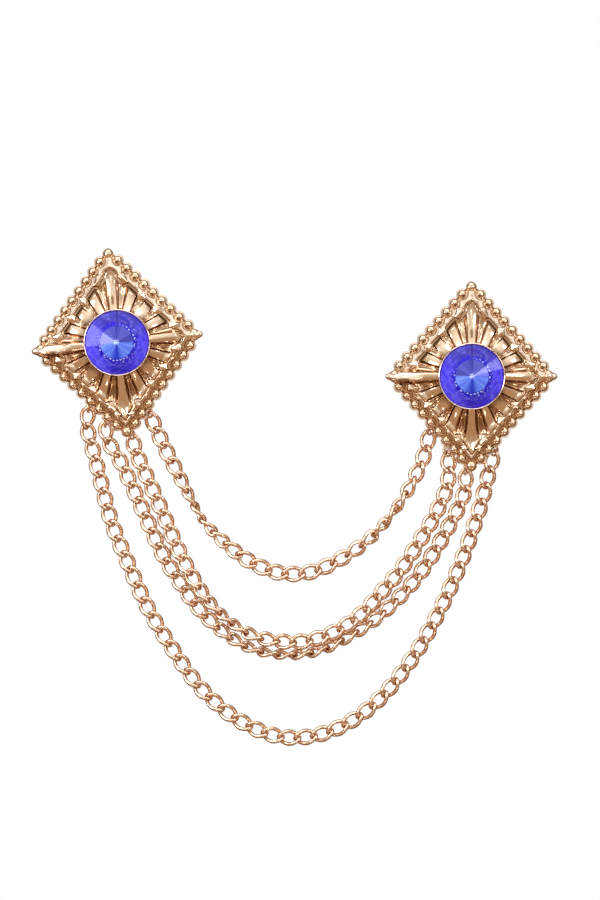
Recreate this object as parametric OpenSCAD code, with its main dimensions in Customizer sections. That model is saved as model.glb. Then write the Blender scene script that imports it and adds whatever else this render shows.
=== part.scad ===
// Lapel chain: two cast brooches with round crystals, joined by four hanging curb chains.
// Millimetres. Seen from the front, +X is right, +Z is up and the viewer stands towards -Y.
// The cloth is the plane Y = 0. The origin is where the left brooch's pin seats on it.

/* [Brooch outline] */
// Half width of the rhombus through the bead centres
half_w = 15.9; // [14.5:0.1:17.5]
// Half height of the rhombus through the bead centres
half_h = 18.1; // [16.5:0.1:20]
// Gap between the cloth and the back of the rim
rim_gap = 2.0; // [1.9:0.1:3]
// Thickness of the border slab
slab_t = 1.3; // [1:0.1:1.6]
// How far the slab reaches outside the bead centres
flange = 0.5; // [0.3:0.05:0.7]

/* [Beads and tips] */
// Diameter of a border bead
bead_d = 2.1; // [1.8:0.05:2.3]
// Round beads on each side
beads_per_side = 9; // [5:1:9]
// Corner of the rhombus to the centre of the nearest bead
tip_room = 2.7; // [2.5:0.1:3.2]
// Diameter of a tip piece at its root
tip_d = 2.2; // [1.9:0.05:2.6]
// Reach of the left and right tips beyond their corner
side_tip_out = 1.0; // [0.7:0.05:1.5]
// Reach of the top and bottom tips beyond their corner
top_tip_out = 0.6; // [0.4:0.05:1.2]

/* [Rail and sunburst] */
// Bead centres to the outer edge of the raised rail
rail_out = 0.65; // [0.55:0.05:0.8]
// Height of the rail's upright outer wall above the slab
rail_step = 0.85; // [0.6:0.05:0.95]
// Bead centres to the crest of the rail, up to which its top slopes
rail_crest = 1.6; // [1.3:0.05:1.65]
// Bead centres to the inner edge of the raised rail
rail_in = 1.95; // [1.7:0.05:2.2]
// Height of the rail above the back of the rim
rail_h = 2.65; // [2.4:0.05:2.9]
// Number of rays
rays = 16; // [12:4:20]
// Diameter of the round ray that runs out over the rail to the left tip
long_ray_d = 2.0; // [1.7:0.05:2.3]
// Width of a ray at the bezel
ray_w_in = 1.8; // [1.5:0.05:2]
// Width of a ray at the rail
ray_w_out = 2.2; // [1.8:0.05:2.6]
// Height of the valleys between the rays at the bezel
ray_z_in = 3.7; // [3.5:0.1:4]
// Height of the valleys between the rays at the rail
ray_z_out = 1.4; // [1.35:0.05:1.7]
// Rise of a ray above its valleys
ray_rise = 0.75; // [0.5:0.05:0.9]

/* [Bezel and stone] */
// Diameter of the stone
stone_d = 12.6; // [12:0.1:13.2]
// Facets round the stone
stone_facets = 16; // [8:4:24]
// Thickness of the stone's girdle
girdle_t = 0.4; // [0.3:0.05:0.6]
// Height of the crown above the girdle
crown_h = 2.4; // [1.8:0.1:3]
// Depth of the pavilion below the girdle
pavilion_h = 3.0; // [2.5:0.1:3.2]
// Diameter of the small table and of the culet
table_d = 0.6; // [0.4:0.1:1.2]
// Height of the girdle's underside above the back of the rim
girdle_z = 4.7; // [4.6:0.1:5.2]
// Clearance all round the stone in its bezel
stone_gap = 0.06; // [0.05:0.01:0.1]
// Wall of the bezel beside the stone
bezel_wall = 0.3; // [0.25:0.01:0.45]
// How far the bezel lip reaches over the stone
lip = 0.12; // [0.08:0.01:0.25]
// Thickness of the lip
lip_t = 0.25; // [0.2:0.05:0.4]

/* [Hollow back] */
// Inner radius of the ring-shaped hollow
hollow_r_in = 4.0; // [3.8:0.1:4.4]
// Outer radius of the ring-shaped hollow
hollow_r_out = 9.4; // [8.6:0.1:9.8]
// Depth of the hollow at its outer edge
hollow_edge = 0.3; // [0.2:0.05:0.4]
// Depth of the hollow under the bezel
hollow_depth = 2.3; // [1.8:0.1:2.5]
// Diameter of the boss that carries the pin
boss_d = 6.4; // [5:0.1:7]

/* [Pin] */
// Diameter of the pad that lies on the cloth
pad_d = 8.0; // [7:0.1:10]
// Thickness of the pad
pad_t = 0.8; // [0.6:0.05:1]
// Diameter of the post
post_d = 1.1; // [0.9:0.05:1.4]
// Straight length of the post behind the cloth
post_l = 7.0; // [5:0.1:9]
// Length of the post's point
point_l = 1.2; // [0.8:0.1:1.6]
// Gap between the boss and the pad
pin_gap = 0.1; // [0.05:0.01:0.15]

/* [Placing] */
// Left brooch to right brooch, across
span_x = 69.4; // [66:0.1:72]
// Left brooch to right brooch, up
span_z = -6.6; // [-10:0.1:-3]
// Turn of the left brooch, anticlockwise seen from the front
left_turn = 6; // [0:0.5:10]
// Turn of the right brooch
right_turn = 0; // [-4:0.5:4]

/* [Chain] */
// Distance from link to link
pitch = 3.27; // [3.1:0.01:3.5]
// Outer width of a link
link_w = 3.5; // [3.4:0.01:3.6]
// Diameter of the link wire
wire_d = 0.64; // [0.58:0.01:0.65]
// Clearance between the wires of two links
link_gap = 0.38; // [0.36:0.01:0.42]
// Twist of a link from its middle to each end
twist = 52; // [50:1:54]

/* [Chain eyes] */
// Radius of an eye to the middle of its wire
eye_r = 0.95; // [0.93:0.01:1]
// Diameter of the eye wire
eye_wire_d = 0.52; // [0.48:0.01:0.56]
// Diameter of the lug that joins an eye to the slab
lug_d = 0.9; // [0.7:0.05:1]
// Reach of a full eye's hanging point outside the bead centres
eye_out = 1.5; // [1.3:0.05:1.8]
// Gap between the cloth and the middle of an eye
eye_lift = 1.2; // [1.15:0.01:1.35]

/* [Hidden] */

GOLD = [0.86, 0.64, 0.45];
COPPER = [0.83, 0.57, 0.38];
BLUE = [0.22, 0.18, 0.85];

// Sides round a link and round its wire
LINK_SIDES = 10;
WIRE_SIDES = 5;
// Steps from one route point to the next
ROUTE_STEPS = 12;
// How far a solid is sunk into the one that it is joined to
ROOT = 0.5;

edge_l = norm([half_w, half_h]);
apothem = half_w * half_h / edge_l;
bead_pitch = (edge_l - 2 * tip_room) / (beads_per_side - 1);
stone_r = stone_d / 2;
bezel_r = stone_r + stone_gap + bezel_wall;
rim_z = girdle_z + girdle_t + stone_gap + lip_t;
link_end = (wire_d + link_gap) / 2;
link_half_w = (link_w - wire_d) / 2;

// Place of each brooch: across, up and turn
BROOCHES = [[0, 0, left_turn], [span_x, span_z, right_turn]];

// Eyes of each strand, left brooch then right brooch. Columns: brooch, side of the bottom corner
// (-1 left, 1 right), share of the edge from the bottom corner, share of eye_out.
EYES = [
    [[0, 1, 0.24, 0.87], [1, -1, 0.45, 0.87]],
    [[0, 1, 0.01, 0.60], [1, -1, 0.22, 1.00]],
    [[0, -1, 0.19, 1.00], [1, -1, 0.01, 0.80]],
    [[0, -1, 0.37, 1.00], [1, 1, 0.22, 0.87]],
];

// Route of each strand between its eyes, from left to right, as it hangs. Columns: share of span_x
// across, depth under the line through the two bottom corners as a share of span_x, distance from
// the cloth as a share of eye_lift, roll of the chain in degrees.
ROUTES = [
    [[0.127, 0.011, 1, 0], [0.167, 0.086, 1.25, 30], [0.207, 0.159, 1.5, 68], [0.245, 0.223, 1.5, 105],
     [0.308, 0.28, 1.25, 143], [0.375, 0.323, 1, 170], [0.455, 0.347, 1, 180], [0.542, 0.338, 1, 180],
     [0.624, 0.295, 1, 170], [0.692, 0.244, 1.17, 140], [0.755, 0.177, 1.5, 105],
     [0.805, 0.104, 1.5, 65], [0.85, 0.02, 1.17, 25], [0.875, -0.051, 1, 0]],
    [[0.052, 0.045, 1.08, 0], [0.089, 0.123, 1.42, 0], [0.127, 0.206, 1.92, 0], [0.163, 0.289, 2.33, 0],
     [0.202, 0.364, 2.5, 15], [0.252, 0.437, 2.5, 50], [0.311, 0.492, 2.5, 75], [0.375, 0.528, 2.5, 60],
     [0.435, 0.538, 2.5, 30], [0.517, 0.536, 2.5, 10], [0.605, 0.503, 2.5, 0], [0.684, 0.446, 2.5, 0],
     [0.744, 0.375, 2.5, 0], [0.803, 0.301, 2.42, 0], [0.854, 0.217, 2.17, 0], [0.901, 0.133, 1.83, 0],
     [0.937, 0.039, 1.33, 10]],
    [[-0.03, 0.019, 1.08, 30], [-0.003, 0.054, 1, 20], [0.019, 0.095, 1, 5], [0.056, 0.173, 1, 0],
     [0.092, 0.252, 1, 0], [0.13, 0.331, 1, 0], [0.179, 0.404, 1, 0], [0.232, 0.472, 1.08, 15],
     [0.301, 0.53, 1.33, 45], [0.376, 0.567, 1.5, 70], [0.468, 0.577, 1.5, 80], [0.561, 0.559, 1.5, 75],
     [0.641, 0.515, 1.42, 60], [0.723, 0.456, 1.25, 40], [0.793, 0.387, 1.08, 20], [0.85, 0.318, 1, 10],
     [0.901, 0.236, 1, 0], [0.947, 0.149, 1, 0], [0.983, 0.068, 1, -15]],
    [[-0.089, -0.02, 1, 25], [-0.078, 0.02, 1, 5], [-0.055, 0.106, 1, 0], [-0.019, 0.244, 1, 0],
     [0.029, 0.359, 1, 0], [0.086, 0.483, 1, 10], [0.157, 0.593, 1, 15], [0.235, 0.694, 1, 10],
     [0.34, 0.773, 1, 0], [0.468, 0.811, 1, 0], [0.602, 0.781, 1, 0], [0.72, 0.698, 1, 0],
     [0.811, 0.586, 1, 0], [0.886, 0.46, 1, 0], [0.965, 0.284, 1, 0], [1.027, 0.101, 1, 0],
     [1.049, 0.011, 1, 0]],
];

// Section of a ray. Columns: share of its half width, share of its rise.
RAY_SECTION = [[-1, 0], [-0.66, 0.75], [0, 1], [0.66, 0.75], [1, 0]];
// Rise of the fold between two rays, as a share of a ray's
FOLD_SHARE = 0.55;

// Profile of a tip piece along its axis. Columns: share of its radius, share of its length.
TIP_SECTION = [[0, -1], [0.62, -0.8], [1, -0.15], [0.92, 0.25], [0.22, 0.92], [0, 1]];

// Rhombus

function rhombus(inset) =
    let (k = 1 - inset / apothem)
    [[k * half_w, 0], [0, k * half_h], [-k * half_w, 0], [0, -k * half_h]];

function reach(angle, inset) =
    (1 - inset / apothem) / (abs(cos(angle)) / half_w + abs(sin(angle)) / half_h);

function polar(r, angle, z) = [r * cos(angle), r * sin(angle), z];

// Brooch plate, drawn face up with its back at Z = 0

module bead_row(from, to) {
    along = (to - from) / edge_l;
    for (i = [0:beads_per_side - 1]) {
        translate(concat(from + (tip_room + i * bead_pitch) * along, slab_t))
            sphere(d = bead_d, $fn = 48);
    }
}

module tip(angle, corner_r, out) {
    half_l = (out + tip_d / 2 + ROOT) / 2;
    rotate([0, 0, angle])
        translate([corner_r + out - half_l, 0, slab_t])
            rotate([0, 90, 0])
                rotate_extrude($fn = 48)
                    polygon([for (row = TIP_SECTION) [row[0] * tip_d / 2, row[1] * half_l]]);
}

module border() {
    linear_extrude(slab_t) polygon(rhombus(-flange));
    corners = rhombus(0);
    for (i = [0:3]) {
        bead_row(corners[i], corners[(i + 1) % 4]);
    }
    for (angle = [0, 180]) {
        tip(angle, half_w, side_tip_out);
    }
    for (angle = [90, 270]) {
        tip(angle, half_h, top_tip_out);
    }
}

// Raised rail: an upright outer wall, a top that slopes up to the crest, and a steep inner face
module rail() {
    wall_h = slab_t + rail_step;
    difference() {
        union() {
            translate([0, 0, ROOT])
                linear_extrude(wall_h - ROOT)
                    polygon(rhombus(rail_out));
            translate([0, 0, wall_h])
                linear_extrude(rail_h - wall_h, scale = reach(0, rail_crest) / reach(0, rail_out))
                    polygon(rhombus(rail_out));
        }
        linear_extrude(rail_h + ROOT)
            polygon(rhombus(rail_in));
    }
}

// One column of the sunburst: its inner and its outer top point
function ray_column(angle, side, rise) =
    let (r_in = bezel_r - bezel_wall / 2,
         a_in = angle + asin(side * ray_w_in / 2 / r_in),
         a_out = angle + asin(side * ray_w_out / 2 / reach(angle, rail_in)))
    [polar(r_in, a_in, ray_z_in + rise * ray_rise),
     polar(reach(a_out, rail_in - ROOT), a_out, ray_z_out + rise * ray_rise)];

function fold_column(angle) =
    [polar(bezel_r - bezel_wall / 2, angle, ray_z_in + FOLD_SHARE * ray_rise),
     polar(reach(angle, rail_in - ROOT), angle, ray_z_out + FOLD_SHARE * ray_rise)];

module sunburst() {
    step = 360 / rays;
    columns = [for (i = [0:rays - 1])
                   for (k = [0:len(RAY_SECTION)])
                       k < len(RAY_SECTION)
                           ? ray_column(i * step, RAY_SECTION[k][0], RAY_SECTION[k][1])
                           : fold_column((i + 0.5) * step)];
    n = len(columns);
    tops = [for (c = columns) for (p = c) p];
    feet = [for (c = columns) [c[1][0], c[1][1], ROOT]];
    points = concat(tops, feet, [[0, 0, ray_z_in]], [[0, 0, ROOT]]);
    faces = [for (i = [0:n - 1])
                 let (j = (i + 1) % n)
                 each [[2 * i, 2 * j + 1, 2 * i + 1], [2 * i, 2 * j, 2 * j + 1],
                       [2 * i + 1, 2 * j + 1, 2 * n + j], [2 * i + 1, 2 * n + j, 2 * n + i],
                       [2 * j, 2 * i, 3 * n], [2 * n + i, 2 * n + j, 3 * n + 1]]];
    polyhedron(points, faces);
}

// Round ray from the bezel to the left tip, sloping down over the rail
module long_ray() {
    inner = [bezel_r, ray_z_in + ray_rise - long_ray_d / 2];
    outer = [half_w, slab_t + tip_d / 2 - long_ray_d / 2];
    run = outer - inner;
    translate([-inner[0], 0, inner[1]])
        rotate([0, -atan2(run[0], run[1]), 0])
            cylinder(d = long_ray_d, h = norm(run), $fn = 48);
}

module bezel() {
    translate([0, 0, ROOT]) cylinder(r = bezel_r, h = rim_z - ROOT, $fn = 96);
}

// Space of the stone with its clearance, open at the top inside the lip
module stone_seat() {
    seat_r = stone_r + stone_gap;
    lip_r = stone_r - lip;
    floor_z = girdle_z - pavilion_h - stone_gap;
    top = girdle_z + girdle_t + stone_gap;
    rotate_extrude($fn = 96)
        polygon([[0, floor_z], [table_d / 2 + stone_gap, floor_z],
                 [seat_r, girdle_z - stone_gap], [seat_r, top],
                 [lip_r, top + lip * crown_h / stone_r], [lip_r, rim_z + ROOT], [0, rim_z + ROOT]]);
}

module hollow() {
    rotate_extrude($fn = 96)
        polygon([[hollow_r_in, -ROOT], [hollow_r_out, -ROOT], [hollow_r_out, hollow_edge],
                 [bezel_r, hollow_depth], [hollow_r_in, hollow_depth]]);
}

module boss() {
    drop = rim_gap - pad_t - pin_gap;
    translate([0, 0, -drop]) cylinder(d = boss_d, h = drop + ROOT, $fn = 64);
}

module plate_body() {
    difference() {
        union() {
            border();
            rail();
            sunburst();
            long_ray();
            bezel();
            boss();
        }
        stone_seat();
        hollow();
    }
}

// Stands a piece drawn face up on its brooch's place, with its face towards the viewer
module place(brooch) {
    spot = BROOCHES[brooch];
    translate([spot[0], -rim_gap, spot[1]])
        rotate([90, 0, 0])
            rotate([0, 0, spot[2]])
                children();
}

// Stone

module stone() {
    n = stone_facets;
    top = girdle_z + girdle_t;
    rings = [[table_d / 2, girdle_z - pavilion_h], [stone_r, girdle_z], [stone_r, top],
             [table_d / 2, top + crown_h]];
    points = [for (ring = rings) for (i = [0:n - 1]) polar(ring[0], (i + 0.5) * 360 / n, ring[1])];
    faces = concat([[for (i = [0:n - 1]) i]],
                   [for (k = [0:2]) for (i = [0:n - 1])
                        let (j = (i + 1) % n) [k * n + i, (k + 1) * n + i, (k + 1) * n + j, k * n + j]],
                   [[for (i = [0:n - 1]) 4 * n - 1 - i]]);
    color(BLUE) polyhedron(points, faces);
}

// Pin, drawn along +Y with its pad's back face on the cloth

module pin(brooch) {
    spot = BROOCHES[brooch];
    color(GOLD)
        translate([spot[0], 0, spot[1]])
            rotate([-90, 0, 0])
                union() {
                    translate([0, 0, -pad_t]) cylinder(d = pad_d, h = pad_t, $fn = 96);
                    translate([0, 0, -pad_t / 2]) cylinder(d = post_d, h = post_l + pad_t / 2, $fn = 48);
                    translate([0, 0, post_l]) cylinder(d1 = post_d, d2 = post_d / 4, h = point_l, $fn = 48);
                }
}

// Strand routes

function xyz(row) = [row[0], row[1], row[2]];

function turned(p, angle) = [p[0] * cos(angle) - p[1] * sin(angle), p[0] * sin(angle) + p[1] * cos(angle)];

// Point where a strand hangs from one of its eyes
function eye_joint(eye) =
    let (spot = BROOCHES[eye[0]],
         corner = [0, -half_h],
         side = [eye[1] * half_w, 0],
         out = [eye[1] * half_h, -half_w] / edge_l,
         p = turned(corner + eye[2] * (side - corner) + eye[3] * eye_out * out, spot[2]))
    [spot[0] + p[0], -eye_lift, spot[1] + p[1]];

// All the rows of a route, eyes included. Columns: x, y, z, roll.
function route_rows(s) =
    let (route = ROUTES[s], last = len(route) - 1)
    concat([concat(eye_joint(EYES[s][0]), route[0][3])],
           [for (r = route)
                [r[0] * span_x, -r[2] * eye_lift, r[0] * span_z - half_h - r[1] * span_x, r[3]]],
           [concat(eye_joint(EYES[s][1]), route[last][3])]);

// Running length at each row
function running(rows) =
    [for (i = 0, sum = 0; i < len(rows); i = i + 1,
          sum = sum + (i < len(rows) ? norm(xyz(rows[i]) - xyz(rows[i - 1])) : 0)) sum];

function slopes(rows, at) =
    let (last = len(rows) - 1)
    [for (i = [0:last])
         let (a = max(i - 1, 0), b = min(i + 1, last))
         (rows[b] - rows[a]) / (at[b] - at[a])];

// Smooth curve through the rows, with ROUTE_STEPS points to each stretch
function curve(rows) =
    let (at = running(rows), m = slopes(rows, at), last = len(rows) - 1)
    concat([for (i = [0:last - 1])
                let (h = at[i + 1] - at[i])
                for (k = [0:ROUTE_STEPS - 1])
                    let (u = k / ROUTE_STEPS)
                    (1 + 2 * u) * pow(1 - u, 2) * rows[i] + u * pow(1 - u, 2) * h * m[i]
                    + u * u * (3 - 2 * u) * rows[i + 1] + u * u * (u - 1) * h * m[i + 1]],
           [rows[last]]);

// Hanging points from link to link, equally spaced along the curve
function strand_joints(s) =
    let (line = curve(route_rows(s)),
         at = running(line),
         total = at[len(at) - 1],
         n = round(total / pitch))
    [for (i = [0:n])
         [for (k = [0:3]) lookup(i * total / n, [for (q = [0:len(at) - 1]) [at[q], line[q][k]]])]];

// Frame of the link between two hanging points: middle, along, side, front, half length
function link_frame(a, b) =
    let (along = (xyz(b) - xyz(a)) / norm(xyz(b) - xyz(a)),
         flat = cross(along, [0, -1, 0]),
         side0 = flat / norm(flat),
         front0 = cross(side0, along),
         roll = (a[3] + b[3]) / 2,
         side = cos(roll) * side0 + sin(roll) * front0)
    [(xyz(a) + xyz(b)) / 2, along, side, cross(side, along), norm(xyz(b) - xyz(a)) / 2 + link_end];

// Links

// Middle of the wire at an angle round a link
function link_point(f, angle) =
    let (v = link_half_w * sin(angle), turn = twist * cos(angle))
    f[0] + f[4] * cos(angle) * f[1] + v * cos(turn) * f[2] + v * sin(turn) * f[3];

function wire_ring(f, angle) =
    let (p = link_point(f, angle),
         ahead = link_point(f, angle + 1) - link_point(f, angle - 1),
         t = ahead / norm(ahead),
         away = p - f[0] - ((p - f[0]) * t) * t,
         out = away / norm(away),
         side = cross(t, out))
    [for (k = [0:WIRE_SIDES - 1])
         p + wire_d / 2 * (cos(k * 360 / WIRE_SIDES) * out + sin(k * 360 / WIRE_SIDES) * side)];

module strand(s) {
    joints = strand_joints(s);
    n = len(joints) - 1;
    size = LINK_SIDES * WIRE_SIDES;
    points = [for (i = [0:n - 1])
                  let (f = link_frame(joints[i], joints[i + 1]))
                  for (j = [0:LINK_SIDES - 1])
                      each wire_ring(f, j * 360 / LINK_SIDES)];
    faces = [for (i = [0:n - 1])
                 for (j = [0:LINK_SIDES - 1])
                     for (k = [0:WIRE_SIDES - 1])
                         let (a = i * size + j * WIRE_SIDES,
                              b = i * size + (j + 1) % LINK_SIDES * WIRE_SIDES,
                              m = (k + 1) % WIRE_SIDES)
                         each [[a + k, b + k, b + m], [a + k, b + m, a + m]]];
    color(COPPER) polyhedron(points, faces);
}

// Eyes

// Ring through which the first or last link of a strand passes, and the lug that holds it
module eye(s, end) {
    joints = strand_joints(s);
    n = len(joints) - 1;
    f = end == 0 ? link_frame(joints[0], joints[1]) : link_frame(joints[n - 1], joints[n]);
    joint = end == 0 ? xyz(joints[0]) : xyz(joints[n]);
    into = end == 0 ? f[1] : -f[1];
    turn = end == 0 ? twist : -twist;
    across = cos(turn) * f[2] + sin(turn) * f[3];
    axis = cross(into, across);
    centre = joint + (link_end - eye_r) * into;
    root = centre - eye_r * into;
    translate(centre)
        rotate([0, acos(axis[2]), atan2(axis[1], axis[0])])
            rotate_extrude($fn = 48)
                translate([eye_r, 0]) circle(d = eye_wire_d, $fn = 24);
    translate(root)
        rotate([90, 0, 0])
            cylinder(d = lug_d, h = rim_gap + slab_t / 2 + root[1], $fn = 32);
}

module plate(brooch) {
    color(GOLD)
        union() {
            place(brooch) plate_body();
            for (s = [0:len(ROUTES) - 1]) {
                eye(s, brooch);
            }
        }
}

module left_plate() { plate(0); }
module right_plate() { plate(1); }
module left_stone() { place(0) stone(); }
module right_stone() { place(1) stone(); }
module left_pin() { pin(0); }
module right_pin() { pin(1); }
module strand_1() { strand(0); }
module strand_2() { strand(1); }
module strand_3() { strand(2); }
module strand_4() { strand(3); }

left_plate();
right_plate();
left_stone();
right_stone();
left_pin();
right_pin();
strand_1();
strand_2();
strand_3();
strand_4();
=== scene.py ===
import math

import bpy
import numpy as np
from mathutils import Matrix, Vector


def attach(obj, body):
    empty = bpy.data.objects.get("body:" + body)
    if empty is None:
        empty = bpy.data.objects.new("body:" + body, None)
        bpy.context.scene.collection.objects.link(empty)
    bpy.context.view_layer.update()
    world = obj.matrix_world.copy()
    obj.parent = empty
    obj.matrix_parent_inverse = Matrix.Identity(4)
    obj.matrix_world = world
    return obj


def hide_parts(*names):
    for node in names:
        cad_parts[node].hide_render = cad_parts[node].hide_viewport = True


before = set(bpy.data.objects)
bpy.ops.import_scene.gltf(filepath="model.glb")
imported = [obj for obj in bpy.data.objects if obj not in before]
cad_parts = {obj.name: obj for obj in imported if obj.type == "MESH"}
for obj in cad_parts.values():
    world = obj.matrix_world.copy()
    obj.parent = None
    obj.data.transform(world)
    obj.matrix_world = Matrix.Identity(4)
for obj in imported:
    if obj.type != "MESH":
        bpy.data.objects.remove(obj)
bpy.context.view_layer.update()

MM = 0.001

# Brooch outline
HALF_W = 15.9
HALF_H = 18.1
EDGE = math.hypot(HALF_W, HALF_H)
APOTHEM = HALF_W * HALF_H / EDGE
RIM_GAP = 2.0
SLAB_T = 1.3
SLAB_OUT = 0.3
BROOCHES = {"left": (0.0, 0.0, math.radians(6)), "right": (69.4, -6.6, 0.0)}

# Beads and tips. The drawn beads stand on a scalloped flange as wide as the CAD beads.
BEAD_R = 0.94
BEAD_LIFT = 0.3
BEADS_PER_SIDE = 9
TIP_ROOM = 2.7
BEAD_PITCH = (EDGE - 2 * TIP_ROOM) / (BEADS_PER_SIDE - 1)
FLANGE_R = 1.21
BEAD_SEGMENTS = 32
BEAD_RINGS = 16

# Rail and its niches: distances inside the line of the beads, widths and heights
RAIL_OUT = 0.5
RAIL_CREST = 1.62
RAIL_WALL = 2.05
WEB_H = 1.65
RAIL_H = 2.68
RAIL_TOP = [(RAIL_OUT, RAIL_WALL), (RAIL_CREST, RAIL_H), (2.6, RAIL_H + 0.04)]
RAIL_DIP = 0.1
NICHE_HALF_W = 1.3
NICHE_FLARE = 0.6
ARCH_GAP = 0.55
SPEAR_GAP = 0.35
NICHE_BLEND = 0.3
ARCH_BLEND = 0.2
TOOTH_END = 2.3
BLADE_END = 2.47
DOME_END = 2.9
SLOT_END = 3.3

# Steps down into a niche in the upper and in the lower sides, and into the slot at its back.
# Columns: distance from the niche's edge, height.
LEVEL_LEDGE = [(0, 0), (0.1, -0.04), (0.16, -0.26), (0.46, -0.3), (0.92, -0.36), (1.0, -2)]
SLOPED_LEDGE = [(0, 0), (0.1, -0.04), (0.16, -0.2), (0.9, -0.75), (1.0, -2)]
SLOT_STEP = [(0.52, 0), (0.58, -1.4)]

# Low lip round a niche, and the slope of the teeth inside the rail's crest
LIP_H = 0.05
LIP_W = 0.08
BEVEL_IN = 0.15
BEVEL_SLOPE = 0.8

# Groove outside the rail. Columns: distance inside the line of the beads, height.
GROOVE = [(-0.25, SLAB_T - 0.15), (0.2, WEB_H)]

# Four-sided stud on each tooth of the rail, and a knob outside each lower niche
STUD_INSET = 1.85
STUD_HALF = 0.95
STUD_H = 0.34
STUD_FOOT = (1.22, 1.1)
KNOB_INSET = 1.2
KNOB_R = 0.34
KNOB_H = 0.3

# Smaller studs on the rail round the bottom corner: distance to either side of the middle, height, half size
CORNER_STUDS = [(0.0, -15.75, 0.62), (1.45, -14.1, 0.78), (2.75, -12.5, 0.7)]
CORNER_DROP = 0.05
CORNER_FOOT = (1.3, 1.15)

# Sunburst. The rays count from the right one, against the clock. The upper half turns into the lower one
# where the sine of the direction lies within HALFWAY.
RAYS = 16
RAY_STEP = 2 * math.pi / RAYS
NORTH, WEST, SOUTH = 4, 8, 12
HALFWAY = 0.35
BEZEL_R = 6.66
HUB_H = 3.95
BLADE_LOW = 2.55
BLADE_LOW_AT = 0.88
MAIN_RISE = 0.1
RIDGE_IN = 3.45
RIDGE_OUT = 2.3
RIDGE_LOW_AT = 0.75
VALLEY_DROP = 0.42

# Half widths of the rays and of the tongues between them: at the bezel, and what is added outwards
MAIN_RAY = (0.8, 0.22)
DIAGONAL_RAY = (1.12, -0.17)
OTHER_RAY = (0.78, 0.17)
TONGUE = (0.25, 0.5)

# Height at a ray's edges as a share of its middle, how much of a round curve a blade has, and the widths
# over which the edges rise
BAR_SHOULDER = 0.76
BLADE_SHOULDER = 0.78
BLADE_ROUND = 0.9
BAR_EDGE = 0.14
BLADE_EDGE = 0.12
SPEAR_EDGE = 0.3

# Spear-shaped ray to the bottom. Columns: distance from the middle, half width.
SPEAR = [(6.6, 0.85), (9.5, 1.0), (12.6, 1.5), (15.4, 0.25)]
CREASE_SPAN = (8.0, 12.0)
CREASE_DEPTH = 0.4
CREASE_SHARE = 0.5

# Where a tongue starts, depth of its trough above, what is added below, height of the keel in it, and the
# slope beside it
TONGUE_START = 0.03
TROUGH = 0.14
TROUGH_BELOW = 0.1
KEEL = 0.06
TONGUE_SLOPE = 1.6

# Fall of the sunburst under the rail
DOME_DROP = 3
DROP_SPAN = (2.1, 1.5)

# Ray that runs out over the rail to the left tip. Columns: distance from the middle, half width or height.
LONG_RAY = [(6.6, 0.75), (9.5, 0.82), (12.0, 1.0), (13.2, 1.1), (14.2, 0.95), (14.9, 0.5)]
LONG_RAY_TOP = [(BEZEL_R, HUB_H + 0.3), (13.0, 3.4), (HALF_W, 2.9)]
LONG_RAY_ROUND = 0.8

# Its outer part leans, by so much for each mm upwards, to catch the light from above, and carries a painted
# highlight
ROD_TILT = 0.45
TILT_SPAN = (9.0, 11.0)
ROD_HIGHLIGHT_SPAN = (10.5, 12.5)

# Painted light on the surface: below 0 a painted highlight, at 1 painted shade as in a recess, at 2 the
# deepest painted shade
DEEPEST_SHADE = 2.0
RAIL_HIGHLIGHT = 0.4
ROD_HIGHLIGHT = 0.75
MIDDLE_DARK = 0.6
FOLD_DARK = 0.85
NICHE_DARK = 1.1
STUD_DARK = 1.3
MARK_DARK = 1.2
PATCH_DARK = 1.4
OUTLINE_DARK = (1.2, 0.6)
GROOVE_SHADE = 0.25
RIM_SHADE = 0.4

# The bezel's top carries a painted highlight too, and by so much more on its left side
BEZEL_HIGHLIGHT = 0.65
BEZEL_LEFT = 0.35

# Where these painted highlights and shades start, are full, fade and end: on the rail, inside a niche's edge,
# along the upper ray, along the long ray and up it, and outside the edge of a bead
RAIL_HIGHLIGHT_SPAN = (0.7, 0.95, 1.6, 1.75)
NICHE_LINE = (0.02, 0.1, 0.2, 0.32)
MARK_SPAN = (7.3, 7.8, 8.9, 9.5)
PATCH_SPAN = (11.9, 12.5, 13.9, 14.4)
PATCH_HEIGHT = (-1.9, -1.4, -0.5, -0.25)
OUTLINE = (-0.03, 0.05, 0.16, 0.28)

# Bezel, stone and hollow back
STONE_R = 6.3
STONE_FACETS = 16
FACET_TURNS = {"left": math.radians(-9.25), "right": math.radians(3.25)}
GIRDLE_Z = 4.7
GIRDLE_T = 0.4
CROWN_H = 2.4
PAVILION_H = 3.0
TABLE_R = 0.3
STONE_GAP = 0.06
LIP_R = 6.24
RIM_Z = 5.41
BOSS_R = 3.2
BOSS_DROP = 1.1
HOLLOW_R_IN = 4.0
HOLLOW_R_OUT = 9.4
HOLLOW_EDGE = 0.3
HOLLOW_DEPTH = 2.3
SEAT_Z = GIRDLE_Z - PAVILION_H - STONE_GAP

# Top of the bezel. Columns: outwards from its lip, upwards from its rim.
BEZEL_TOP = [(0, -0.17), (0.03, -0.1), (0.08, -0.04), (0.16, 0), (0.24, -0.03), (0.3, -0.1), (0.33, -0.2)]

# Edge of the plate. Columns: distance inside the line of the beads, height.
RIM = [(-SLAB_OUT + 0.03, SLAB_T - 0.2), (-SLAB_OUT, SLAB_T - 0.3), (-SLAB_OUT, 0.1), (-SLAB_OUT + 0.1, 0.0)]

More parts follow.
